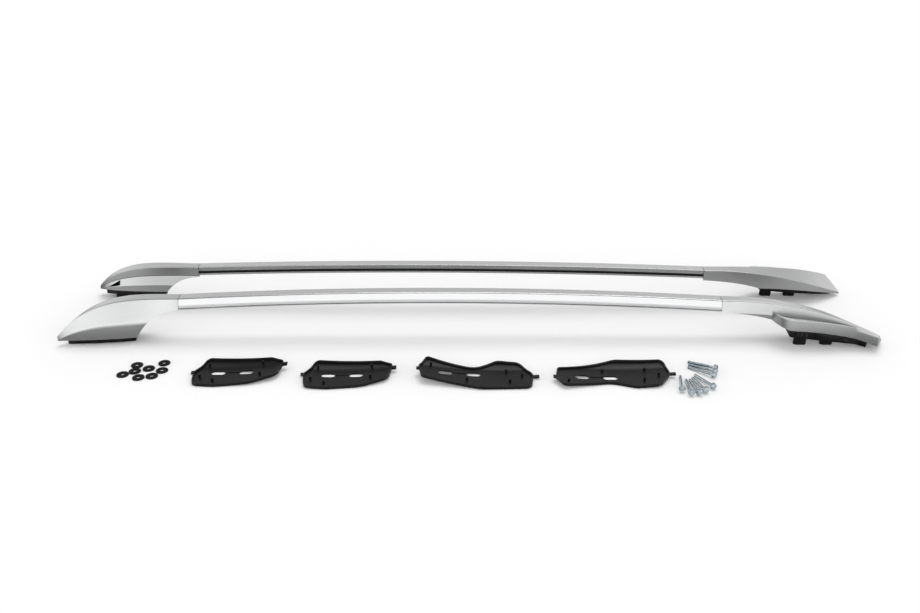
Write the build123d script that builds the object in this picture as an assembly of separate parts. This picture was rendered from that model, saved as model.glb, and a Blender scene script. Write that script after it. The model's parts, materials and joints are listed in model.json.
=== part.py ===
# A pair of arched roof side rails with their loose fixing kit, laid out on a floor.
# X runs along the rails with the front ends at -X, Y across them and Z up from the floor.
# One rail is modelled on the +Y side of the pair's middle plane and mirrored to make the other.
import os
from math import asin, atan, cos, degrees, radians, sin, sqrt, tan

from build123d import *

# Driving dimensions, in millimetres and degrees.
rail_length = 1750.0
set_depth = 515.0
front_foot_length = 253.0
rear_foot_length = 341.0
rail_tilt = 0.62

# Bar: an arched hollow extrusion between the feet, its section measured from the outer top edge.
arch_apex_x = 25.0
arch_radius = 10700.0
arch_lean = 32.0
bar_edge_offset = 89.0
bar_edge_height = 101.7
bar_top_width = 25.5
bar_outer_height = 24.6
bar_inner_height = 19.8
bar_outer_lean = 7.0
bar_outer_bulge = 1.2
bar_wall = 2.2
bar_corner_radii = {"inner_low": 2.5, "inner_top": 1.2, "outer_top": 3.0, "bulge": 30.0, "outer_low": 4.0}
cavity_radius = 1.0

# Groove along the inner face of the bar and the rubber strip that fills it.
groove_drop = 9.3
groove_mouth = 6.0
groove_pocket = 9.0
groove_lip = 2.0
groove_depth = 7.0
strip_recess = 1.0
strip_clearance = 0.15
strip_end_gap = 0.3

# Feet: thin mouldings, open below, that carry the bar's shape down to a low tip.
joint_gap = 0.4
foot_wall = 2.6
fit_clearance = 0.3
below_floor = 40.0
arm_start_slope = 0.05
foot_shares = (0.0, 0.2, 0.4, 0.56, 0.7, 0.82, 0.92, 1.0)

front_sweep_power = 4
front_tip_outward = 37.0
front_tip_height = 12.0
front_tip_width = 6.0
front_tip_draft = 0.8
front_top_cant = 3.0
front_tip_arm = 2.0
front_groove_depth = 2.0
front_groove_tip = 0.6
front_ledge_out = 8.0
front_ledge_height = 40.0
front_ledge_tip = 3.0
front_belly_in = 3.0
front_belly_height = 36.0
front_root_flare = 14.0
front_base_length = 163.0
front_base_roll = 19.0
front_base_tip = 2.0
front_bend_run = 207.0
front_bend_drop = 10.0
front_arm_end_slope = 2.0
front_window = ((27.0, 19.0), (64.0, 43.5), (64.0, 32.5))
front_window_depth = 108.0

# Rear foot: a blade that widens and cants to its tail, and a skirt that stands out below it.
rear_fall_power = 2.25
rear_tip_height = 16.0
rear_ridge_power = 4
rear_ridge_outward = 54.0
rear_edge_power = 2.75
rear_edge_fall = 56.0
rear_edge_outward = 79.0
rear_band_power = 2.5
rear_band_tip = 1.5
rear_band_draft = 0.8
rear_tail_angle = 33.0
rear_tail_flat = 2.0
rear_base_length = 207.0
rear_base_end_z = 47.0
rear_base_mid_run = 85.0
rear_base_mid_z = 34.5
rear_base_tip = 13.0
rear_bend_run = 247.0
rear_bend_drop = 10.0
rear_arm_end_slope = 0.3
skirt_front_run = 255.0
skirt_full_run = 199.0
skirt_end_run = 36.0
skirt_end_wall = 10.0
skirt_root = 6.0
skirt_out = 53.0
skirt_height = 76.0
skirt_fall = 36.0
skirt_draft = 2.0
skirt_overlap = 26.0
skirt_sink = 10.0
skirt_below_floor = 30.0
skirt_stations = 10

# Carriers: ribbed black mouldings inside the feet, with a spigot into the bar and two bosses.
spigot_length = 48.0
carrier_wall = 2.6
carrier_recess = 3.0
front_keel_drop = 10.0
rear_keel_tip = 13.0
rear_keel_pitch = 5.9
rear_keel_roll = 8.0
rear_keel_setback = 22.0
carrier_slab = 3.0
spine_inset = 8.0
rib_pitch = 48.0
boss_pitch = 56.0
boss_length = 27.0
boss_width = 13.0
boss_reach = 0.9
front_boss_root = 14.0
front_boss_run = 113.0
front_boss_offset = 110.0
rear_boss_root = 8.0
rear_boss_run = 174.0
rear_boss_offset = 126.0

# Threaded inserts in the bosses and the screws that hold the spigots in the bar.
thread_radius = 3.0
thread_core_radius = 2.5
insert_radius = 4.5
insert_length = 14.0
insert_clearance = 0.1
insert_sink = 0.3
screw_inset = 24.0
screw_radius = 2.5
screw_length = 9.0
screw_head_radius = 4.6
screw_head_height = 2.6
screw_clearance = 0.2
screw_seat_gap = 0.1
screw_recess_radius = 1.4
screw_recess_depth = 1.3

# Base pads: thin moulded sheets with a raised rim, a double slot and locating pegs.
pad_thickness = 3.0
pad_rim_height = 3.2
pad_rim_width = 3.0
pad_width = 92.0
pad_curl_radius = 1000.0
pad_back_radius = 44.0
pad_back_run = 25.0
pad_back_turn = 75.0
pad_slot_clearance = 1.0
pad_slit_width = 3.5
peg_radius = 2.4
peg_height = 8.0
tab_length = 14.0
tab_width = 9.0
front_pad_length = 178.0
rear_pad_length = 234.0

# Loose washers and flange bolts.
washer_radius = 12.0
washer_hole_radius = 4.2
washer_thickness = 3.0
washer_edge = 0.6
bolt_length = 56.0
bolt_flange_radius = 7.0
bolt_flange_height = 1.6
bolt_hex_flats = 10.0
bolt_head_height = 6.0
bolt_chamfer = 0.7

# Places of the loose pieces on the floor.
washer_row_y = -158.0
washer_places = (
    (-699, -13),
    (-682, 26),
    (-679, 1),
    (-664, -25),
    (-654, 12),
    (-639, -19),
    (-625, 4),
    (-629, 35),
)

# Bolts: where the middle of each bearing face lies, and which way its head points.
bolt_places = (
    (407, 21, -99),
    (422, 6, -92),
    (437, 7, -84),
    (451, 16, -77),
    (469, 31, -65),
    (480, 76, -43),
    (486, 90, -39),
    (490, 105, -34),
)

# Corner radii of the feet's sections, in the order of their corners.
front_radii = (0.5, 2.0, 1.2, 2.0, 1.2, 3.0, 30.0, 0.5)
rear_radii = (0.5, 1.5, 3.0, 2.0, 0.5)
skirt_radii = (0.5, 1.0, 3.0, 0.5)
tip_radius_loss = 0.85

# Pads: outline corners, slot, pegs and tabs, measured from the pad's middle.
front_half = front_pad_length / 2
rear_half = rear_pad_length / 2
pad_side = pad_width / 2
front_pad = {
    "length": front_pad_length,
    "corners": (
        (21 - front_half, pad_side),
        (front_half - 25, pad_side - 3),
        (front_half, pad_side - 12),
        (front_half - 7, -14),
        (30, 8 - pad_side),
        (-40, -pad_side),
        (7 - front_half, 4 - pad_side),
        (-front_half, 4),
    ),
    "radii": (16, 20, 6, 24, 80, 80, 14, 20),
    "slot": (-11, 6),
    "pegs": ((27 - front_half, 32), (46, 34), (17 - front_half, -12), (-44, -26), (46, -6)),
    "tabs": ((2 - front_half, 8), (front_half, 28)),
}
rear_pad = {
    "length": rear_pad_length,
    "corners": (
        (15 - rear_half, pad_side),
        (-6, pad_side - 18),
        (40, pad_side),
        (rear_half - 29, pad_side - 4),
        (rear_half - 4, 4),
        (rear_half - 10, 3 - pad_side),
        (6, -pad_side),
        (6 - rear_half, -18),
        (-rear_half, 20),
    ),
    "radii": (10, 50, 30, 24, 30, 14, 60, 12, 10),
    "slot": (-35, 8),
    "pegs": ((25 - rear_half, 30), (59, 19), (-20, -16), (65, -20), (90, 2)),
    "tabs": ((3 - rear_half, 14), (rear_half, 0)),
}

# Where each pad lies on the floor, the station where it touches, and its hand.
pad_layout = (
    ("left_front_pad", front_pad, (-469, -173), -44, 1),
    ("right_front_pad", front_pad, (-248, -183), -20, 1),
    ("left_rear_pad", rear_pad, (10, -184), 50, 1),
    ("right_rear_pad", rear_pad, (282, -180), 10, -1),
)

# Stations along the rail, measured from its tips.
front_tip_x = -rail_length / 2
rear_tip_x = rail_length / 2
bar_front_x = front_tip_x + front_foot_length
bar_rear_x = rear_tip_x - rear_foot_length
front_base_end_x = front_tip_x + front_base_length
front_bend_x = front_tip_x + front_bend_run
front_boss_x = front_tip_x + front_boss_run
rear_base_end_x = rear_tip_x - rear_base_length
rear_base_mid_x = rear_tip_x - rear_base_mid_run
rear_bend_x = rear_tip_x - rear_bend_run
rear_boss_x = rear_tip_x - rear_boss_run
skirt_front_x = rear_tip_x - skirt_front_run
skirt_full_x = rear_tip_x - skirt_full_run
skirt_end_x = rear_tip_x - skirt_end_run
tilted = Rot(0, rail_tilt, 0)


def inset(points, wall):
    # Moves every side of a clockwise outline inwards by the same wall.
    moved = []
    for index, here in enumerate(points):
        into = (here - points[index - 1]).normalized()
        out = (points[(index + 1) % len(points)] - here).normalized()
        side_in = Vector(into.Y, -into.X)
        side_out = Vector(out.Y, -out.X)
        moved.append(here + (side_in + side_out) * (wall / (1 + side_in.dot(side_out))))
    return moved


def across(x):
    # The plane across the rail at a station, with outward as its x and up as its y.
    return Plane(origin=(x, 0, 0), x_dir=(0, 1, 0), z_dir=(1, 0, 0))


def rounded_face(points, radii):
    return make_face(FilletPolyline(*points, radius=radii, close=True))


def between(front, rear):
    # A tall block that keeps only what lies between two stations.
    length = rear - front
    return Pos((front + rear) / 2, 0, 0) * Box(length, set_depth * 2, rail_length)


def arch_angle(x):
    return degrees(asin((x - arch_apex_x) / arch_radius))


def arch_drop(x):
    return arch_radius - sqrt(arch_radius**2 - (x - arch_apex_x) ** 2)


def bar_edge(x):
    # The bar's outer top edge at a station: the arch falls and leans outward to both ends.
    fall = arch_drop(x)
    lean = radians(arch_lean)
    return Vector(bar_edge_offset + fall * sin(lean), bar_edge_height - fall * cos(lean))


lean = radians(arch_lean)
arch_centre = (
    arch_apex_x,
    bar_edge_offset + arch_radius * sin(lean),
    bar_edge_height - arch_radius * cos(lean),
)
arch_axis = Axis(arch_centre, (0, cos(lean), sin(lean)))
apex_plane = across(arch_apex_x) * Pos(bar_edge_offset, bar_edge_height)


def bar_points():
    return [
        Vector(-bar_top_width, -bar_inner_height),
        Vector(-bar_top_width, 0),
        Vector(0, 0),
        Vector(bar_outer_lean / 2 + bar_outer_bulge, -bar_outer_height / 2),
        Vector(bar_outer_lean, -bar_outer_height),
    ]


def arched(section, front, rear):
    # Sweeps a section along the arch and trims it square at two stations.
    start = arch_angle(front - bar_outer_height)
    end = arch_angle(rear + bar_outer_height)
    swept = revolve((apex_plane * section).rotate(arch_axis, start), arch_axis, end - start)
    return swept & between(front, rear)


def block(left, right, low, high):
    return Pos((left + right) / 2, (low + high) / 2) * Rectangle(right - left, high - low)


def cavity_section(extra):
    # The bar's inside, less the walls of the groove.
    groove_low = -groove_drop - (groove_mouth + groove_pocket) / 2 - bar_wall - extra
    groove_high = -groove_drop - (groove_mouth - groove_pocket) / 2 + bar_wall + extra
    groove_back = -bar_top_width + groove_depth + bar_wall + extra
    inside = rounded_face(inset(bar_points(), bar_wall + extra), cavity_radius)
    return inside - block(-2 * bar_top_width, groove_back, groove_low, groove_high)


def groove_section(extra, recess):
    # A narrow mouth in the inner face and a wider pocket behind it.
    face = -bar_top_width + recess
    middle = -groove_drop - groove_mouth / 2
    mouth = groove_mouth / 2 - extra
    pocket = groove_pocket / 2 - extra
    lip = -bar_top_width + groove_lip + extra
    back = -bar_top_width + groove_depth - extra
    return block(face, lip + bar_wall, middle - mouth, middle + mouth) + block(
        lip, back, middle - pocket, middle + pocket
    )


def make_bar():
    outline = rounded_face(bar_points(), list(bar_corner_radii.values()))
    section = outline - cavity_section(0) - groove_section(0, -bar_wall)
    bar = arched(section, bar_front_x, bar_rear_x)
    for x in screw_stations:
        bar -= screw_shank(x, screw_radius + screw_clearance)
    return bar


def make_strip():
    section = groove_section(strip_clearance, strip_recess)
    return arched(section, bar_front_x + strip_end_gap, bar_rear_x - strip_end_gap)


def under_bar(shape, x):
    # Seats a shape square on the bar's sloping underside, its own +Z pointing out of the bar.
    low_inner = bar_points()[0]
    low_outer = bar_points()[-1]
    along = (low_outer - low_inner).normalized()
    middle = (low_inner + low_outer) / 2
    seat = Plane(
        origin=(arch_apex_x, bar_edge_offset + middle.X, bar_edge_height + middle.Y),
        x_dir=(1, 0, 0),
        z_dir=(0, along.Y, -along.X),
    )
    return (seat * shape).rotate(arch_axis, arch_angle(x))


def screw_shank(x, radius):
    return under_bar(Pos(0, 0, -screw_length / 2) * Cylinder(radius, screw_length), x)


def make_screws():
    head_top = screw_seat_gap + screw_head_height
    head = Pos(0, 0, screw_seat_gap + screw_head_height / 2) * Cylinder(screw_head_radius, screw_head_height)
    neck = Pos(0, 0, screw_seat_gap / 2) * Cylinder(screw_radius, screw_seat_gap)
    socket = RegularPolygon(screw_recess_radius, 6)
    head = head + neck - Pos(0, 0, head_top) * extrude(socket, -screw_recess_depth)
    screws = []
    for x in screw_stations:
        screws.append(under_bar(head, x) + screw_shank(x, screw_radius))
    return Compound(screws)


def front_outline(share):
    # Section of the front foot: an arm that bends down to the tip over a leg with an inner ledge.
    joint = bar_edge(bar_front_x)
    sweep = share**front_sweep_power
    left = 1 - sweep
    tip_offset = joint.X + front_tip_outward + front_tip_draft
    root_offset = joint.X + front_root_flare
    outer_top = Vector(
        joint.X + front_tip_outward * share**2,
        joint.Y - (joint.Y - front_tip_height) * sweep,
    )
    inner_run = front_tip_outward + bar_top_width - front_tip_width
    inner_top = Vector(
        joint.X - bar_top_width + inner_run * sweep,
        outer_top.Y - front_top_cant * share**2,
    )
    arm_low = inner_top - Vector(0, bar_inner_height * left + front_tip_arm * sweep)
    step = front_groove_depth * left + front_groove_tip
    groove = arm_low + Vector(step, -step)
    ledge = Vector(
        inner_top.X - front_ledge_out * left,
        front_ledge_height * left + front_ledge_tip,
    )
    base_offset = tip_offset - (tip_offset - root_offset) * (1 - share) ** 2
    belly = Vector(base_offset - front_belly_in * left, front_belly_height * left + front_ledge_tip)
    base_inner = Vector(ledge.X, -below_floor)
    base_outer = Vector(base_offset, -below_floor)
    return [base_inner, ledge, groove, arm_low, inner_top, outer_top, belly, base_outer]


def rear_outline(share):
    # Section of the rear foot's blade: a canted top over a band that carries on the bar.
    joint = bar_edge(bar_rear_x)
    ridge = Vector(
        joint.X - bar_top_width + rear_ridge_outward * share**rear_ridge_power,
        joint.Y - (joint.Y - rear_tip_height) * share**rear_fall_power,
    )
    outer_top = Vector(
        joint.X + rear_edge_outward * share**2,
        joint.Y - rear_edge_fall * share**rear_edge_power,
    )
    band = bar_outer_height * (1 - share**rear_band_power) + rear_band_tip
    valley = outer_top + Vector(bar_outer_lean * (1 - share) + rear_band_draft * share, -band)
    return [
        Vector(ridge.X, -below_floor),
        ridge,
        outer_top,
        valley,
        Vector(valley.X, -below_floor),
    ]


def skirt_outline(share):
    # Section of the skirt: it swings out of the blade's band and stands along it as a crest.
    x = bar_rear_x + (rear_tip_x - bar_rear_x) * share
    swing = min(1, max(0, (x - skirt_front_x) / (skirt_full_x - skirt_front_x)))
    swing = swing**2 * (3 - 2 * swing)
    valley = rear_outline(share)[-2]
    inner = valley.X - skirt_overlap
    crest = Vector(
        bar_edge(bar_rear_x).X + skirt_root + (skirt_out - skirt_root) * swing,
        skirt_height - skirt_fall * share**3,
    )
    return [
        Vector(inner, -skirt_below_floor),
        Vector(inner, valley.Y - skirt_sink),
        crest,
        Vector(crest.X + skirt_draft, -skirt_below_floor),
    ]


def foot_loft(outline, start, tip, shares, wall, radii):
    # Lofts a foot's section from the bar's end towards its tip: rounded outside, sharp inside.
    faces = []
    for share in shares:
        ease = 1 - share**2 * tip_radius_loss
        if wall:
            face = make_face(Polyline(*inset(outline(share), wall), close=True))
        else:
            face = rounded_face(outline(share), [radius * ease for radius in radii])
        faces.append(across(start + (tip - start) * share) * face)
    return loft(faces)


def front_form(wall):
    shares = foot_shares[:-1] if wall else foot_shares
    return foot_loft(front_outline, bar_front_x - joint_gap, front_tip_x, shares, wall, front_radii)


def rear_form(wall):
    start = bar_rear_x + joint_gap
    shares = foot_shares[:-1] if wall else foot_shares
    blade = foot_loft(rear_outline, start, rear_tip_x, shares, wall, rear_radii)
    skirt_run = skirt_end_x - skirt_front_x - (skirt_end_wall if wall else 0)
    stations = [skirt_front_x + skirt_run * index / (skirt_stations - 1) for index in range(skirt_stations)]
    skirt_shares = [(x - start) / (rear_tip_x - start) for x in stations]
    skirt = foot_loft(skirt_outline, start, rear_tip_x, skirt_shares, wall, skirt_radii)
    return blade + skirt - tail_cutter(wall)


def tail_cutter(wall):
    # Everything past the slanting end of the rear foot.
    turn = radians(rear_tail_angle)
    plane = Plane(
        origin=(rear_tip_x, rear_tip_offset + rear_tail_flat, 0),
        x_dir=(-sin(turn), cos(turn), 0),
        z_dir=(cos(turn), sin(turn), 0),
    )
    return plane * Pos(0, 0, set_depth / 2 - wall) * Box(set_depth, set_depth, set_depth)


def under_plane(tip, pitch, roll):
    # Everything under a plane through a foot's tip that rises to the inner side, and to the front by a pitch.
    fall = tan(radians(pitch))
    plane = Plane(origin=tip, x_dir=(1, 0, -fall), z_dir=(fall, tan(radians(roll)), 1))
    return plane * Pos(0, 0, -set_depth / 2) * Box(rail_length, set_depth * 2, set_depth)


def front_base(drop):
    return under_plane((front_tip_x, front_tip_offset, front_base_tip - drop), 0, front_base_roll)


def front_cutter():
    # A three-cornered window through the inner face, close behind the tip.
    corners = [(front_tip_x + run, height) for run, height in front_window]
    return extrude(Plane.XZ * make_face(Polyline(*corners, close=True)), -front_window_depth)


def rear_base():
    # Everything under an arc that falls from the arm to the tip.
    past = rear_tip_x + below_floor
    arc = ThreePointArc(
        (rear_base_end_x, rear_base_end_z),
        (rear_base_mid_x, rear_base_mid_z),
        (rear_tip_x, rear_base_tip),
    )
    edges = Polyline(
        (rear_tip_x, rear_base_tip),
        (past, rear_base_tip),
        (past, -set_depth),
        (rear_base_end_x, -set_depth),
        (rear_base_end_x, rear_base_end_z),
    )
    return extrude(Plane.XZ * make_face(arc.edges() + edges.edges()), set_depth, both=True)


def arm_cutter(bar_end, bend, base_end, end_slope):
    # The space between the bar's underside and the end of the base, with its curved edge.
    side = 1 if bar_end > base_end[0] else -1
    under = bar_edge(bar_end).Y - bar_outer_height
    past = bar_end + side * spigot_length
    bend_x, bend_drop = bend
    curve = Spline(
        (bar_end, under),
        (bend_x, under - bend_drop),
        base_end,
        tangents=[(-side, -arm_start_slope), (-side, -end_slope)],
    )
    edges = Polyline(
        base_end,
        (base_end[0], -set_depth),
        (past, -set_depth),
        (past, under),
        (bar_end, under),
    )
    return extrude(Plane.XZ * make_face(curve.edges() + edges.edges()), set_depth, both=True)


def make_foot(foot):
    return tilted * (foot["form"](0) - foot["form"](foot_wall) - foot["base"] - foot["arm"])


def make_carrier(foot):
    # An end plate, ribs, a spine and a base slab inside the foot, then the bosses and the spigot.
    side = foot["side"]
    start = foot["bar_end"] + side * joint_gap
    joint = bar_edge(foot["bar_end"])
    stations = [start]
    while (foot["tip"] - stations[-1]) * side > rib_pitch:
        stations.append(stations[-1] + side * rib_pitch)
    frame = Pos(0, 0, carrier_slab) * foot["base"]
    frame += Pos(0, joint.X - spine_inset, 0) * Box(rail_length, carrier_wall, set_depth)
    frame += [between(*sorted((x, x + side * carrier_wall))) for x in stations]
    carrier = foot["form"](foot_wall + fit_clearance) & frame
    carrier -= foot["keel"]
    carrier -= Pos(side * carrier_recess, 0, carrier_recess) * foot["arm"]
    spigot_end = foot["bar_end"] - side * spigot_length
    carrier += arched(cavity_section(fit_clearance), *sorted((start, spigot_end)))
    carrier = tilted * (carrier - screw_shank(foot["screw_x"], screw_radius + screw_clearance))
    for x in foot["boss_x"]:
        place = Pos(x, foot["boss_offset"], -boss_reach)
        height = boss_reach + foot["boss_top"](x) - x * sin(radians(rail_tilt))
        carrier += place * extrude(SlotOverall(boss_length, boss_width), height)
        carrier -= place * Pos(0, 0, insert_length / 2) * Cylinder(
            insert_radius + insert_clearance, insert_length + 2 * insert_sink
        )
    return carrier


def make_inserts(feet):
    tube = Pos(0, 0, insert_sink + insert_length / 2 - boss_reach) * (
        Cylinder(insert_radius, insert_length) - Cylinder(thread_core_radius, insert_length)
    )
    inserts = []
    for foot in feet:
        for x in foot["boss_x"]:
            inserts.append(Pos(x, foot["boss_offset"], 0) * tube)
    return Compound(inserts)


def make_pad(pad, apex, hand):
    # A curled sheet trimmed to the pad's outline, with a rim, pegs and a double slot.
    outline = rounded_face([(x, hand * y) for x, y in pad["corners"]], pad["radii"])
    tall = 2 * pad_width
    rim_ring = outline - offset(outline, -pad_rim_width)
    tabs = [Pos(x, hand * y) * Rectangle(tab_length, tab_width) for x, y in pad["tabs"]]
    up = Vector(0, 0, 1)
    solid = extrude(outline + tabs, tall, dir=up) & pad_sheet(0, pad_thickness, apex, pad["length"])
    rim = extrude(rim_ring, tall, dir=up) & pad_sheet(0, pad_thickness + pad_rim_height, apex, pad["length"])
    solid += rim
    for x, y in [(x, hand * y) for x, y in pad["pegs"]]:
        foot = pad_height(x, y, apex) + pad_thickness / 2
        solid += Pos(x, y, foot + peg_height / 2) * Cylinder(peg_radius, peg_height)
    slot = SlotOverall(boss_length + 2 * pad_slot_clearance, boss_width + 2 * pad_slot_clearance)
    cut = Rectangle(boss_pitch, pad_slit_width)
    for side in (-1, 1):
        cut += Pos(side * boss_pitch / 2, 0) * slot
    slot_x, slot_y = pad["slot"]
    return solid - extrude(Pos(slot_x, hand * slot_y) * cut, tall)


def pad_height(x, y, apex):
    # Height of a pad's underside above the floor: it curls along X and rises at the back.
    curl = pad_curl_radius - sqrt(pad_curl_radius**2 - (x - apex) ** 2)
    past = max(0, y - pad_width / 2 + pad_back_run)
    return curl + pad_back_radius - sqrt(pad_back_radius**2 - past**2)


def pad_band(low, high):
    bend = pad_width / 2 - pad_back_run
    centre = (bend, pad_back_radius)
    lower = CenterArc(centre, pad_back_radius - low, -90, pad_back_turn)
    upper = CenterArc(centre, pad_back_radius - high, -90, pad_back_turn)
    front = -pad_width
    edges = [
        Line((front, low), lower @ 0),
        lower,
        Line(lower @ 1, upper @ 1),
        upper,
        Line(upper @ 0, (front, high)),
        Line((front, high), (front, low)),
    ]
    return make_face(edges)


def pad_sheet(low, high, apex, length):
    axis = Axis((apex, 0, pad_curl_radius), (0, 1, 0))
    reach = degrees(asin(length / pad_curl_radius))
    section = (across(apex) * pad_band(low, high)).rotate(axis, -reach)
    return revolve(section, axis, 2 * reach)


def make_washers():
    ring = Pos(0, 0, washer_thickness / 2) * (
        Cylinder(washer_radius, washer_thickness) - Cylinder(washer_hole_radius, washer_thickness)
    )
    rims = ring.edges().filter_by(GeomType.CIRCLE).sort_by(SortBy.RADIUS)[-2:]
    ring = chamfer(rims, washer_edge)
    return Compound([Pos(x, washer_row_y + y, 0) * ring for x, y in washer_places])


def make_bolt():
    # A flange bolt along X: its shank behind the bearing face and its hexagon head in front.
    shank = Pos(-bolt_length / 2, 0, 0) * Rot(0, 90, 0) * Cylinder(thread_radius, bolt_length)
    shank = chamfer(shank.edges().group_by(Axis.X)[0], bolt_chamfer)
    flange = Pos(bolt_flange_height / 2, 0, 0) * Rot(0, 90, 0) * Cone(
        bolt_flange_radius, bolt_flange_radius - bolt_chamfer, bolt_flange_height
    )
    hexagon = RegularPolygon(bolt_hex_flats / 2, 6, major_radius=False)
    head = extrude(across(bolt_flange_height) * hexagon, bolt_head_height - bolt_flange_height)
    head = chamfer(head.faces().sort_by(Axis.X)[-1].edges(), bolt_chamfer)
    return shank + flange + head


def make_bolts():
    # Each bolt lies on the rim of its flange and the end of its shank.
    bolt = make_bolt()
    tilt = atan((bolt_flange_radius - thread_radius) / (bolt_length - bolt_chamfer))
    lift = bolt_flange_radius * cos(tilt)
    bolts = []
    for x, y, turn in bolt_places:
        place = Pos(x, y, 0) * Rot(0, 0, turn) * Pos(0, 0, lift)
        bolts.append(place * Rot(0, -degrees(tilt), 0) * bolt)
    return Compound(bolts)


screw_stations = (bar_front_x + screw_inset, bar_rear_x - screw_inset)
front_tip_offset = bar_edge(bar_front_x).X + front_tip_outward
rear_tip_offset = bar_edge(bar_rear_x).X - bar_top_width + rear_ridge_outward


def front_boss_top(x):
    rise = (front_tip_offset - front_boss_offset) * tan(radians(front_base_roll))
    return front_base_tip + rise + front_boss_root


def rear_boss_top(x):
    slope = (rear_base_mid_z - rear_base_end_z) / (rear_base_mid_x - rear_base_end_x)
    return rear_base_end_z + (x - rear_base_end_x) * slope + rear_boss_root


front_foot = {
    "form": front_form,
    "bar_end": bar_front_x,
    "tip": front_tip_x,
    "side": -1,
    "base": front_base(0),
    "keel": front_base(front_keel_drop),
    "arm": arm_cutter(
        bar_front_x,
        (front_bend_x, front_bend_drop),
        (front_base_end_x, front_base_tip),
        front_arm_end_slope,
    ),
    "boss_x": (front_boss_x, front_boss_x - boss_pitch),
    "boss_offset": front_boss_offset,
    "boss_top": front_boss_top,
    "screw_x": screw_stations[0],
}
rear_foot = {
    "form": rear_form,
    "bar_end": bar_rear_x,
    "tip": rear_tip_x,
    "side": 1,
    "base": rear_base(),
    "keel": under_plane((rear_tip_x, rear_tip_offset, rear_keel_tip), rear_keel_pitch, rear_keel_roll)
    + tail_cutter(rear_keel_setback),
    "arm": arm_cutter(
        bar_rear_x,
        (rear_bend_x, rear_bend_drop),
        (rear_base_end_x, rear_base_end_z),
        rear_arm_end_slope,
    ),
    "boss_x": (rear_boss_x, rear_boss_x + boss_pitch),
    "boss_offset": rear_boss_offset,
    "boss_top": rear_boss_top,
    "screw_x": screw_stations[1],
}

rail = {
    "bar": tilted * make_bar(),
    "groove_strip": tilted * make_strip(),
    "front_foot": make_foot(front_foot) - tilted * front_cutter(),
    "rear_foot": make_foot(rear_foot),
    "front_carrier": make_carrier(front_foot),
    "rear_carrier": make_carrier(rear_foot),
    "threaded_inserts": make_inserts((front_foot, rear_foot)),
    "spigot_screws": tilted * make_screws(),
}

# The far rail's outer side is the back of the set, and the heads of the bolts are its front.
rail_reach = max(piece.bounding_box().max.Y for piece in rail.values())
pair_plane = Pos(0, set_depth / 2 - rail_reach, boss_reach)
pieces = {}
for name, piece in rail.items():
    pieces["right_" + name] = pair_plane * piece
    pieces["left_" + name] = pair_plane * mirror(piece, about=Plane.XZ)

for name, pad, place, apex, hand in pad_layout:
    pieces[name] = Pos(*place) * make_pad(pad, apex, hand)

pieces["sealing_washers"] = make_washers()
bolts = make_bolts()
pieces["flange_bolts"] = Pos(0, -set_depth / 2 - bolts.bounding_box().min.Y, 0) * bolts

os.makedirs("parts", exist_ok=True)
for name, piece in pieces.items():
    export_step(piece, f"parts/{name}.step")
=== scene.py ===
import json
from math import asin, atan, cos, radians, sin, sqrt, tan, tau

import bmesh
import bpy
from mathutils import Matrix, Vector


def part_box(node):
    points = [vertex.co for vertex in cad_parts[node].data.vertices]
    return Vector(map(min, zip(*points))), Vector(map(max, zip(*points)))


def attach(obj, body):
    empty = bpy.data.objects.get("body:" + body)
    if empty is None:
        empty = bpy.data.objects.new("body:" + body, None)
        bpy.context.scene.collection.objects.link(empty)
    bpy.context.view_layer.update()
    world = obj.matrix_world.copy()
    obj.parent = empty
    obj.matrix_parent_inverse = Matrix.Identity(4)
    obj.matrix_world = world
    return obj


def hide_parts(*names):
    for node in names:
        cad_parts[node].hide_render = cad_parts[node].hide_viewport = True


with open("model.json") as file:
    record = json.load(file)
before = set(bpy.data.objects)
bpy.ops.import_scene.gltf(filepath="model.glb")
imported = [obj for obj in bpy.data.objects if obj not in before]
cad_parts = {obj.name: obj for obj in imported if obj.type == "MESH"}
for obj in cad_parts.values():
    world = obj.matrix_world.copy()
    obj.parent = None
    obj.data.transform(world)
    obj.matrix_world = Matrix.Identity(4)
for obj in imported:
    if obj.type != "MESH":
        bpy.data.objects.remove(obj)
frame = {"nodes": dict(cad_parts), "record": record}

scene = bpy.context.scene
scene.view_settings.view_transform = "Standard"
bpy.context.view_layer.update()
pairPlane = (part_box("left_bar")[1].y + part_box("right_bar")[0].y) / 2  # the middle between the two rails
millimetre = 0.001
railTilt = radians(0.62)  # the rails stand a little nose up on the floor
print("frame loaded,", len(frame["nodes"]), "nodes")


# one small wrapper so that shader maths reads as plain expressions
class Sock:
    def __init__(self, tree, socket):
        self.tree = tree
        self.socket = socket

    def node(self, kind, settings=None, out=0, **inputs):
        made = self.tree.nodes.new(kind)
        for key, value in (settings or {}).items():
            if key == "stops":
                ramp = made.color_ramp
                while len(ramp.elements) < len(value):
                    ramp.elements.new(1)
                for element, (place, shade) in zip(ramp.elements, value):
                    element.position = place
                    element.color = (shade, shade, shade, 1)
            else:
                setattr(made, key, value)
        for key, value in inputs.items():
            byPlace = key[0] == "i" and key[1:].isdigit()  # i0, i1 and so on name a socket by its place
            target = made.inputs[int(key[1:]) if byPlace else key.replace("_", " ")]
            if isinstance(value, Sock):
                self.tree.links.new(value.socket, target)
            else:
                target.default_value = value
        return Sock(self.tree, made.outputs[out])

    def maths(self, operation, first, second):
        return self.node("ShaderNodeMath", {"operation": operation}, i0=first, i1=second)

    def __add__(self, other):
        return self.maths("ADD", self, other)

    def __radd__(self, other):
        return self.maths("ADD", other, self)

    def __sub__(self, other):
        return self.maths("SUBTRACT", self, other)

    def __rsub__(self, other):
        return self.maths("SUBTRACT", other, self)

    def __mul__(self, other):
        return self.maths("MULTIPLY", self, other)

    def __rmul__(self, other):
        return self.maths("MULTIPLY", other, self)


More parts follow.
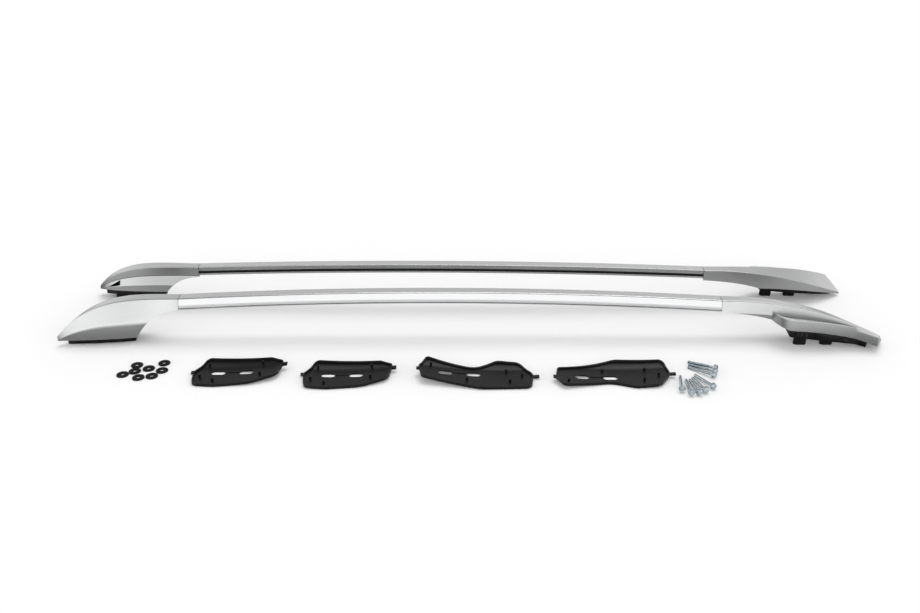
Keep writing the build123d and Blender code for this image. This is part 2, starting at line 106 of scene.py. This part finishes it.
def newMaterial(name):
    material = bpy.data.materials.new(name)
    material.use_nodes = True
    tree = material.node_tree
    shader = tree.nodes["Principled BSDF"]
    place = tree.nodes.new("ShaderNodeTexCoord")
    return material, tree, shader, Sock(tree, place.outputs["Object"])


def feed(tree, shader, name, value):
    tree.links.new(value.socket, shader.inputs[name])


def noise(where, scale, detail=3.0, rough=0.55, stretch=None):
    if stretch:
        where = where.node("ShaderNodeMapping", Vector=where, Scale=stretch)
    return where.node("ShaderNodeTexNoise", Vector=where, Scale=scale, Detail=detail, Roughness=rough)


def mixColour(mask, low, high):
    return mask.node("ShaderNodeMix", {"data_type": "RGBA"}, out=2, i0=mask, i6=low, i7=high)


def bump(height, strength, distance):
    return height.node("ShaderNodeBump", Strength=strength, Distance=distance, Height=height)


# silver finishes: satin anodising with fine lines along the drawn bars, metallic paint on the moulded feet
silver = {
    "flakeDetail": 2.0,
    "flakeRough": 0.5,
    "flakeShare": 0.7,
    "cloudScale": 14.0,
    "bumpDepth": 0.0002,
    "bar": {
        "dark": (0.45, 0.452, 0.456, 1),
        "light": (0.51, 0.512, 0.516, 1),
        "rough": (0.22, 0.3),
        "stretch": (2, 320, 320),
        "grain": 0.004,
        "metal": 1.0,
    },
    "foot": {
        "dark": (0.40, 0.402, 0.405, 1),
        "light": (0.49, 0.492, 0.495, 1),
        "rough": (0.25, 0.36),
        "stretch": (900, 900, 900),
        "grain": 0.04,
        "metal": 0.96,
    },
}


def silverFinish(name, look):
    material, tree, shader, where = newMaterial(name)
    flake = noise(where, 1.0, silver["flakeDetail"], silver["flakeRough"], look["stretch"])
    cloud = noise(where, silver["cloudScale"])
    mask = flake * silver["flakeShare"] + cloud * (1 - silver["flakeShare"])
    feed(tree, shader, "Base Color", mixColour(mask, look["dark"], look["light"]))
    low, high = look["rough"]
    feed(tree, shader, "Roughness", low + (high - low) * cloud)
    feed(tree, shader, "Normal", bump(flake, look["grain"], silver["bumpDepth"]))
    shader.inputs["Metallic"].default_value = look["metal"]
    return material


# black mouldings and rubber
black = {
    "cloudScale": 22.0,
    "cloudDetail": 4.0,
    "cloudShare": 0.5,
    "bumpDepth": 0.0003,
    "plastic": {
        "dark": (0.004, 0.004, 0.005, 1),
        "light": (0.012, 0.012, 0.013, 1),
        "rough": (0.42, 0.6),
        "grain": 900.0,
        "height": 0.25,
        "gloss": 0.2,
    },
    "pad": {
        "dark": (0.002, 0.002, 0.0025, 1),
        "light": (0.007, 0.007, 0.008, 1),
        "rough": (0.24, 0.44),
        "grain": 260.0,
        "height": 0.3,
        "gloss": 0.17,
    },
    "rubber": {
        "dark": (0.003, 0.003, 0.003, 1),
        "light": (0.008, 0.008, 0.008, 1),
        "rough": (0.45, 0.62),
        "grain": 700.0,
        "height": 0.2,
        "gloss": 0.12,
    },
}


def blackFinish(name, look):
    material, tree, shader, where = newMaterial(name)
    grain = noise(where, look["grain"])
    cloud = noise(where, black["cloudScale"], black["cloudDetail"])
    mask = black["cloudShare"] * cloud + (1 - black["cloudShare"]) * grain
    feed(tree, shader, "Base Color", mixColour(cloud, look["dark"], look["light"]))
    low, high = look["rough"]
    feed(tree, shader, "Roughness", low + (high - low) * mask)
    feed(tree, shader, "Normal", bump(grain, look["height"], black["bumpDepth"]))
    shader.inputs["Specular IOR Level"].default_value = look["gloss"]
    return material


# plated and turned metal of the small fasteners
metal = {
    "cloudScale": 160.0,
    "cloudDetail": 4.0,
    "pitScale": 1200.0,
    "pitStrength": 0.08,
    "bumpDepth": 0.0001,
    "zinc": {"dark": (0.12, 0.165, 0.19, 1), "light": (0.64, 0.70, 0.73, 1), "rough": (0.12, 0.26)},
    "brass": {"dark": (0.50, 0.36, 0.14, 1), "light": (0.66, 0.50, 0.24, 1), "rough": (0.24, 0.38)},
}


def metalFinish(name, look):
    material, tree, shader, where = newMaterial(name)
    cloud = noise(where, metal["cloudScale"], metal["cloudDetail"])
    pits = noise(where, metal["pitScale"])
    feed(tree, shader, "Base Color", mixColour(cloud, look["dark"], look["light"]))
    low, high = look["rough"]
    feed(tree, shader, "Roughness", low + (high - low) * cloud)
    feed(tree, shader, "Normal", bump(pits, metal["pitStrength"], metal["bumpDepth"]))
    shader.inputs["Metallic"].default_value = 1.0
    return material


finishes = {
    "bar_silver": silverFinish("satinSilverBar", silver["bar"]),
    "foot_silver": silverFinish("silverPaintFoot", silver["foot"]),
    "black_plastic": blackFinish("blackMoulding", black["plastic"]),
    "pad_rubber": blackFinish("blackPad", black["pad"]),
    "black_rubber": blackFinish("blackRubber", black["rubber"]),
    "zinc_steel": metalFinish("zincPlate", metal["zinc"]),
    "brass_insert": metalFinish("turnedBrass", metal["brass"]),
}
slotOf = {row["node"]: row["material_slot"] for row in frame["record"]["subparts"]}
for name, node in frame["nodes"].items():
    node.data.materials.clear()
    node.data.materials.append(finishes[slotOf[name]])
print("finishes on", len(slotOf), "nodes")

# every piece that stands for a node: smooth faces, creases by angle, big faces kept flat to the eye
skin = {
    "merge": 0.00001,
    "crease": radians(38),
    "footCrease": radians(16),  # keeps the shallow valley between blade and skirt clean
    "padEdge": 0.0006,
    "edgeSegments": 2,
    "made": ("left_bar", "right_bar", "sealing_washers", "flange_bolts"),
}


def standFor(name, bm, crease, edge=0):
    mesh = bpy.data.meshes.new(name + "_skin")
    bm.to_mesh(mesh)
    bm.free()
    mesh.polygons.foreach_set("use_smooth", [True] * len(mesh.polygons))
    mesh.set_sharp_from_angle(angle=crease)
    mesh.materials.append(finishes[slotOf[name]])
    piece = bpy.data.objects.new(name + "_skin", mesh)
    scene.collection.objects.link(piece)
    if edge:
        soften = piece.modifiers.new("soften", "BEVEL")
        soften.width = edge
        soften.segments = skin["edgeSegments"]
        soften.limit_method = "ANGLE"
        soften.angle_limit = crease
    weigh = piece.modifiers.new("weigh", "WEIGHTED_NORMAL")
    weigh.keep_sharp = not edge
    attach(piece, "root")
    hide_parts(name)


# puts one bmesh into another
def addTo(bm, one):
    loose = bpy.data.meshes.new("loose")
    one.to_mesh(loose)
    one.free()
    bm.from_mesh(loose)
    bpy.data.meshes.remove(loose)


# a closed loop of corners in a plane, each rounded by its own radius
def roundedLoop(bm, corners, segments, across, up):
    points = [bm.verts.new(across * x + up * z) for x, z, radius in corners]
    bm.faces.new(points)
    for point, (x, z, radius) in zip(points, corners):
        if radius:
            first, second = [edge.other_vert(point).co - point.co for edge in point.link_edges]
            bmesh.ops.bevel(
                bm,
                geom=[point],
                offset=radius / tan(first.angle(second) / 2),
                offset_type="OFFSET",
                affect="VERTICES",
                segments=segments,
                profile=0.5,
                material=-1,
            )
    bmesh.ops.delete(bm, geom=bm.faces[:], context="FACES_ONLY")


# bars: hollow drawn sections swept along the arch, in millimetres from the outer top edge
bar = {
    "outer": (
        (-25.5, -19.8, 2.5),
        (-25.5, -15.3, 0.4),
        (-23.5, -15.3, 0),
        (-23.5, -16.8, 0),
        (-18.5, -16.8, 0),
        (-18.5, -7.8, 0),
        (-23.5, -7.8, 0),
        (-23.5, -9.3, 0),
        (-25.5, -9.3, 0.4),
        (-25.5, 0, 1.2),
        (0, 0, 3.0),
        (4.7, -12.3, 30.0),
        (7.0, -24.6, 4.0),
    ),
    "cavity": (
        (-16.3, -18.9, 0),
        (-16.3, -5.6, 0),
        (-23.3, -5.6, 0),
        (-23.3, -2.2, 0),
        (-1.5, -2.2, 1.0),
        (2.6, -12.9, 0),
        (4.3, -22.0, 1.0),
    ),
    "edge": Vector((25.0, 89.0, 101.7)),  # the outer top edge at the crown of the arch
    "radius": 10700.0,
    "lean": radians(32),
    "front": -622.0,
    "rear": 534.0,
    "jointLine": 0.7,  # trimmed off both ends, so that the joint with the foot shows as a dark line
    "spare": 30.0,  # swept past both ends, then trimmed square
    "segments": 6,
    "steps": 72,
    "lift": 0.9,  # sets the tilted rail's bosses on the floor
    "merge": 0.000001,
    "crease": radians(35),
}


def sweptBar(side):
    bm = bmesh.new()
    for corners in (bar["outer"], bar["cavity"]):
        roundedLoop(bm, corners, bar["segments"], Vector((0, 1, 0)), Vector((0, 0, 1)))
    bmesh.ops.translate(bm, verts=bm.verts, vec=bar["edge"])
    axis = Vector((0, cos(bar["lean"]), sin(bar["lean"])))
    centre = bar["edge"] + bar["radius"] * Vector((0, sin(bar["lean"]), -cos(bar["lean"])))
    reach = (bar["front"] - bar["spare"], bar["rear"] + bar["spare"])
    start, end = [asin((x - bar["edge"].x) / bar["radius"]) for x in reach]
    bmesh.ops.rotate(bm, verts=bm.verts, cent=centre, matrix=Matrix.Rotation(start, 3, axis))
    line = bm.verts[:] + bm.edges[:]
    bmesh.ops.spin(bm, geom=line, cent=centre, axis=axis, angle=end - start, steps=bar["steps"])
    for x, way in ((bar["front"] + bar["jointLine"], -1), (bar["rear"] - bar["jointLine"], 1)):
        whole = bm.verts[:] + bm.edges[:] + bm.faces[:]
        cut = bmesh.ops.bisect_plane(
            bm, geom=whole, plane_co=(x, 0, 0), plane_no=(way, 0, 0), clear_outer=True
        )
        rim = [part for part in cut["geom_cut"] if isinstance(part, bmesh.types.BMEdge)]
        bmesh.ops.triangle_fill(bm, edges=rim, use_beauty=True)
    tilt = Matrix.Rotation(railTilt, 4, "Y")
    mirror = Matrix.Diagonal((1, side, 1, 1))
    place = Matrix.Translation((0, pairPlane, bar["lift"] * millimetre)) @ Matrix.Scale(millimetre, 4)
    bmesh.ops.transform(bm, matrix=place @ mirror @ tilt, verts=bm.verts)
    bmesh.ops.remove_doubles(bm, verts=bm.verts, dist=bar["merge"])
    bmesh.ops.recalc_face_normals(bm, faces=bm.faces)
    return bm


standFor("right_bar", sweptBar(1), bar["crease"])
standFor("left_bar", sweptBar(-1), bar["crease"])
print("bars swept")

# sealing washers: a rounded section turned once round, in millimetres
washer = {
    "section": ((4.2, 0, 0.5), (12.0, 0, 0.8), (12.0, 3.0, 0.8), (4.2, 3.0, 0.5)),
    "rowY": -158.0,
    "places": (
        (-699, -13),
        (-682, 26),
        (-679, 1),
        (-664, -25),
        (-654, 12),
        (-639, -19),
        (-625, 4),
        (-629, 35),
    ),
    "segments": 4,
    "steps": 64,
    "crease": radians(60),
}


def washerHeap():
    bm = bmesh.new()
    for x, y in washer["places"]:
        one = bmesh.new()
        roundedLoop(one, washer["section"], washer["segments"], Vector((1, 0, 0)), Vector((0, 0, 1)))
        line = one.verts[:] + one.edges[:]
        bmesh.ops.spin(one, geom=line, axis=(0, 0, 1), angle=tau, steps=washer["steps"], use_merge=True)
        bmesh.ops.recalc_face_normals(one, faces=one.faces)
        bmesh.ops.translate(one, verts=one.verts, vec=(x, y + washer["rowY"], 0))
        addTo(bm, one)
    bmesh.ops.scale(bm, verts=bm.verts, vec=(millimetre, millimetre, millimetre))
    return bm


standFor("sealing_washers", washerHeap(), washer["crease"])
print("washers turned")

# flange bolts: turned shank and flange, hexagon head and rolled thread, in millimetres along X
bolt = {
    "shank": 3.0,
    "core": 2.5,
    "length": 56.0,
    "chamfer": 0.7,
    "plain": 9.0,  # bare shank under the flange
    "flange": 7.0,
    "flangeHeight": 1.6,
    "flangeEdge": 0.2,  # chamfer under the flange's rim
    "flangeRim": 0.6,  # upright part of the rim
    "collar": 0.3,  # rise of the flange's top towards the hexagon
    "flats": 10.0,
    "headHeight": 6.0,
    "headEdge": 0.6,
    "edgeSegments": 3,
    "crownRim": 0.8,
    "dish": 0.35,
    "pitch": 1.0,
    "bareTurns": 2,  # turns left off the thread's ends
    "threadSink": 0.05,
    "merge": 0.001,
    "threadSteps": 18,
    "steps": 36,
    "crease": radians(32),
    "places": (
        (407, 21, -99),
        (422, 6, -92),
        (437, 7, -84),
        (451, 16, -77),
        (469, 31, -65),
        (480, 76, -43),
        (486, 90, -39),
        (490, 105, -34),
    ),
}


def turnedShank():
    bm = bmesh.new()
    tip = -bolt["length"]
    profile = (
        (tip, 0),
        (tip, bolt["core"] - bolt["chamfer"] / 2),
        (tip + bolt["chamfer"], bolt["core"]),
        (-bolt["plain"], bolt["core"]),
        (-bolt["plain"] + bolt["chamfer"], bolt["shank"]),
        (0, bolt["shank"]),
        (0, bolt["flange"] - bolt["flangeEdge"]),
        (bolt["flangeEdge"], bolt["flange"]),
        (bolt["flangeRim"], bolt["flange"]),
        (bolt["flangeHeight"], bolt["flange"] - bolt["chamfer"]),
        (bolt["flangeHeight"] + bolt["collar"], bolt["flats"] / 2),
        (bolt["flangeHeight"] + bolt["collar"], 0),
    )
    points = [bm.verts.new((x, 0, z)) for x, z in profile]
    for first, second in zip(points, points[1:]):
        bm.edges.new((first, second))
    line = bm.verts[:] + bm.edges[:]
    bmesh.ops.spin(bm, geom=line, axis=(1, 0, 0), angle=tau, steps=bolt["steps"], use_merge=True)
    bmesh.ops.remove_doubles(bm, verts=bm.verts, dist=bolt["merge"])
    bmesh.ops.recalc_face_normals(bm, faces=bm.faces)
    return bm


def hexagonHead():
    bm = bmesh.new()
    bmesh.ops.create_circle(bm, cap_ends=True, segments=6, radius=bolt["flats"] / sqrt(3))
    bmesh.ops.rotate(bm, verts=bm.verts, matrix=Matrix.Rotation(radians(90), 3, "Y"))
    bmesh.ops.translate(bm, verts=bm.verts, vec=(bolt["flangeHeight"] / 2, 0, 0))
    raised = bmesh.ops.extrude_face_region(bm, geom=bm.faces[:], use_keep_orig=True)
    top = [part for part in raised["geom"] if isinstance(part, bmesh.types.BMVert)]
    bmesh.ops.translate(bm, verts=top, vec=(bolt["headHeight"] - bolt["flangeHeight"] / 2, 0, 0))
    bmesh.ops.recalc_face_normals(bm, faces=bm.faces)
    crown = max(bm.faces, key=lambda face: face.calc_center_median().x)
    bmesh.ops.bevel(
        bm,
        geom=crown.edges[:],
        offset=bolt["headEdge"],
        affect="EDGES",
        segments=bolt["edgeSegments"],
        profile=0.5,
        material=-1,
    )
    crown = max(bm.faces, key=lambda face: face.calc_center_median().x)
    bmesh.ops.inset_region(bm, faces=[crown], thickness=bolt["crownRim"], depth=-bolt["dish"])
    return bm


def rolledThread():
    bm = bmesh.new()
    turns = int((bolt["length"] - bolt["plain"]) / bolt["pitch"]) - bolt["bareTurns"]
    start = -bolt["length"] + bolt["chamfer"]
    root = bolt["core"] - bolt["threadSink"]
    section = ((start, root), (start + bolt["pitch"] / 2, bolt["shank"]), (start + bolt["pitch"], root))
    bm.faces.new([bm.verts.new((x, 0, z)) for x, z in section])
    bmesh.ops.spin(
        bm,
        geom=bm.verts[:] + bm.edges[:] + bm.faces[:],
        axis=(1, 0, 0),
        dvec=(bolt["pitch"] / bolt["threadSteps"], 0, 0),
        angle=tau * turns,
        steps=bolt["threadSteps"] * turns,
    )
    bmesh.ops.recalc_face_normals(bm, faces=bm.faces)
    return bm


def boltFan():
    bm = bmesh.new()
    tilt = atan((bolt["flange"] - bolt["shank"]) / (bolt["length"] - bolt["chamfer"]))
    for x, y, turn in bolt["places"]:
        one = bmesh.new()
        for maker in (turnedShank, hexagonHead, rolledThread):
            addTo(one, maker())
        lie = Matrix.Translation((0, 0, bolt["flange"] * cos(tilt))) @ Matrix.Rotation(-tilt, 4, "Y")
        place = Matrix.Translation((x, y, 0)) @ Matrix.Rotation(radians(turn), 4, "Z")
        bmesh.ops.transform(one, matrix=place @ lie, verts=one.verts)
        addTo(bm, one)
    bmesh.ops.scale(bm, verts=bm.verts, vec=(millimetre, millimetre, millimetre))
    nearest = min(point.co.y for point in bm.verts)
    bmesh.ops.translate(bm, verts=bm.verts, vec=(0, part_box("flange_bolts")[0].y - nearest, 0))
    return bm


standFor("flange_bolts", boltFan(), bolt["crease"])
print("bolts made")


# the other solids are merged copies with smooth shading
def mergedCopy(name):
    bm = bmesh.new()
    bm.from_mesh(frame["nodes"][name].data)
    bmesh.ops.remove_doubles(bm, verts=bm.verts, dist=skin["merge"])
    return bm


# rear feet: the corner of the skirt that stands a millimetre proud of the blade near the tail is laid flush
tail = {
    "plane": (Vector((829.6, 150.8, 44.6)), Vector((845.8, 154.1, 37.1)), Vector((840.2, 140.9, 35.9))),
    "along": (824.0, 843.0),
    "across": (141.5, 150.0),
    "height": (-0.3, 3.0),
}


def flushTail(bm, side):
    first, second, third = tail["plane"]
    facing = (third - first).cross(second - first).normalized()
    if facing.z < 0:
        facing.negate()
    for point in bm.verts:
        spot = Vector((point.co.x, side * (point.co.y - pairPlane), point.co.z)) / millimetre
        height = (spot - first).dot(facing)
        inAlong = tail["along"][0] < spot.x < tail["along"][1]
        inAcross = tail["across"][0] < spot.y < tail["across"][1]
        if inAlong and inAcross and tail["height"][0] < height < tail["height"][1]:
            point.co.z -= height / facing.z * millimetre
    return bm


for name in sorted(frame["nodes"]):
    if name.endswith("_rear_foot"):
        side = 1 if name.startswith("right") else -1
        standFor(name, flushTail(mergedCopy(name), side), skin["footCrease"])
    elif name.endswith("_foot"):
        standFor(name, mergedCopy(name), skin["footCrease"])
    elif name.endswith("_pad"):
        standFor(name, mergedCopy(name), skin["crease"], edge=skin["padEdge"])
    elif name not in skin["made"]:
        standFor(name, mergedCopy(name), skin["crease"])
print("skins made")

# studio: a wide white floor, a soft lamp above and behind, a dome that is bright in front and dim above
studio = {
    "floorHalf": 40.0,
    "floorShade": (0.84, 0.84, 0.84, 1),
    "floorGlow": 0.08,
    "floorRough": 0.9,
    "lampPower": 1.3,
    "lampSpread": radians(40),
    "lampTurn": (radians(-24), radians(8), 0),
    "dome": ((0.0, 1.0), (0.36, 1.0), (0.6, 0.34), (1.0, 0.24)),
    "front": 1.6,
    "fallBack": 0.6,
}


def makeFloor():
    mesh = bpy.data.meshes.new("floor")
    bm = bmesh.new()
    bmesh.ops.create_grid(bm, x_segments=1, y_segments=1, size=studio["floorHalf"])
    bm.to_mesh(mesh)
    bm.free()
    floor = bpy.data.objects.new("floor", mesh)
    scene.collection.objects.link(floor)
    material, tree, shader = newMaterial("whiteFloor")[:3]
    shader.inputs["Base Color"].default_value = studio["floorShade"]
    shader.inputs["Roughness"].default_value = studio["floorRough"]
    shader.inputs["Specular IOR Level"].default_value = 0.0
    path = tree.nodes.new("ShaderNodeLightPath")
    rays = ("Is Camera Ray", "Is Glossy Ray", "Is Transmission Ray")
    camera, glossy, through = [Sock(tree, path.outputs[ray]) for ray in rays]
    glow = (camera + glossy + through) * studio["floorGlow"]
    shader.inputs["Emission Color"].default_value = (1, 1, 1, 1)
    tree.links.new(glow.socket, shader.inputs["Emission Strength"])
    mesh.materials.append(material)


# grey cards on the floor along the rails that only reflections see: painted reflections in the silver, dark
# in front of and behind the rails, lighter between them
reflectionCards = {
    "ends": 1.2,
    "height": 0.0015,
    "rough": 0.9,
    "front": {"edges": (-0.245, -0.15), "shade": (0.17, 0.17, 0.175, 1)},
    "middle": {"edges": (-0.15, 0.12), "shade": (0.58, 0.58, 0.585, 1)},
    "rear": {"edges": (0.12, 0.9), "shade": (0.1, 0.1, 0.102, 1)},
}


def makeReflectionCard(name):
    near, far = reflectionCards[name]["edges"]
    mesh = bpy.data.meshes.new(name + "Card")
    bm = bmesh.new()
    bmesh.ops.create_grid(bm, x_segments=1, y_segments=1, size=1)
    bmesh.ops.scale(bm, verts=bm.verts, vec=(reflectionCards["ends"], (far - near) / 2, 1))
    bmesh.ops.translate(bm, verts=bm.verts, vec=(0, pairPlane + (near + far) / 2, reflectionCards["height"]))
    bm.to_mesh(mesh)
    bm.free()
    sheet = bpy.data.objects.new(name + "Card", mesh)
    scene.collection.objects.link(sheet)
    # hidden from the camera, diffuse light and shadows, so the cards only paint reflections
    sheet.visible_camera = False
    sheet.visible_diffuse = False
    sheet.visible_shadow = False
    sheet.visible_transmission = False
    material, _, shader = newMaterial(name + "Card")[:3]
    shader.inputs["Base Color"].default_value = reflectionCards[name]["shade"]
    shader.inputs["Roughness"].default_value = reflectionCards["rough"]
    mesh.materials.append(material)


def makeLight():
    lamp = bpy.data.lights.new("softLamp", "SUN")
    lamp.energy = studio["lampPower"]
    lamp.angle = studio["lampSpread"]
    holder = bpy.data.objects.new("softLamp", lamp)
    holder.rotation_euler = studio["lampTurn"]
    scene.collection.objects.link(holder)
    world = bpy.data.worlds.new("studioDome")
    scene.world = world
    world.use_nodes = True
    tree = world.node_tree
    place = Sock(tree, tree.nodes.new("ShaderNodeTexCoord").outputs["Generated"])
    depth = place.node("ShaderNodeSeparateXYZ", out=1, Vector=place)
    height = place.node("ShaderNodeSeparateXYZ", out=2, Vector=place)
    dome = height.node("ShaderNodeValToRGB", {"stops": studio["dome"]}, Fac=height)
    shade = dome * (studio["front"] - depth * studio["fallBack"])
    tree.links.new(shade.socket, tree.nodes["Background"].inputs["Color"])


# camera at the photograph's place, level with the rails as they stand
view = {
    "sensor": 36.0,
    "focalPixels": 950,
    "framePixels": 920,
    "pitch": radians(25.05),
    "yaw": radians(0.42),
    "roll": radians(0.73),
    "place": Vector((-0.02762, pairPlane - 1.93031, 0.93064)),
}


def makeCamera():
    lens = bpy.data.cameras.new("camera")
    lens.lens = view["sensor"] * view["focalPixels"] / view["framePixels"]
    lens.sensor_width = view["sensor"]
    holder = bpy.data.objects.new("camera", lens)
    scene.collection.objects.link(holder)
    pitch, yaw, roll = view["pitch"], view["yaw"], view["roll"]
    ahead = Vector((sin(yaw) * cos(pitch), cos(yaw) * cos(pitch), -sin(pitch)))
    level = Vector((cos(yaw), -sin(yaw), 0))
    upright = level.cross(ahead)
    right = level * cos(roll) + upright * sin(roll)
    up = upright * cos(roll) - level * sin(roll)
    turn = Matrix((right, up, -ahead)).transposed().to_4x4()
    holder.matrix_world = Matrix.Translation(view["place"]) @ Matrix.Rotation(railTilt, 4, "Y") @ turn
    scene.camera = holder


makeFloor()
for name in ("front", "middle", "rear"):
    makeReflectionCard(name)
makeLight()
makeCamera()
print("studio set")

bpy.context.view_layer.update()
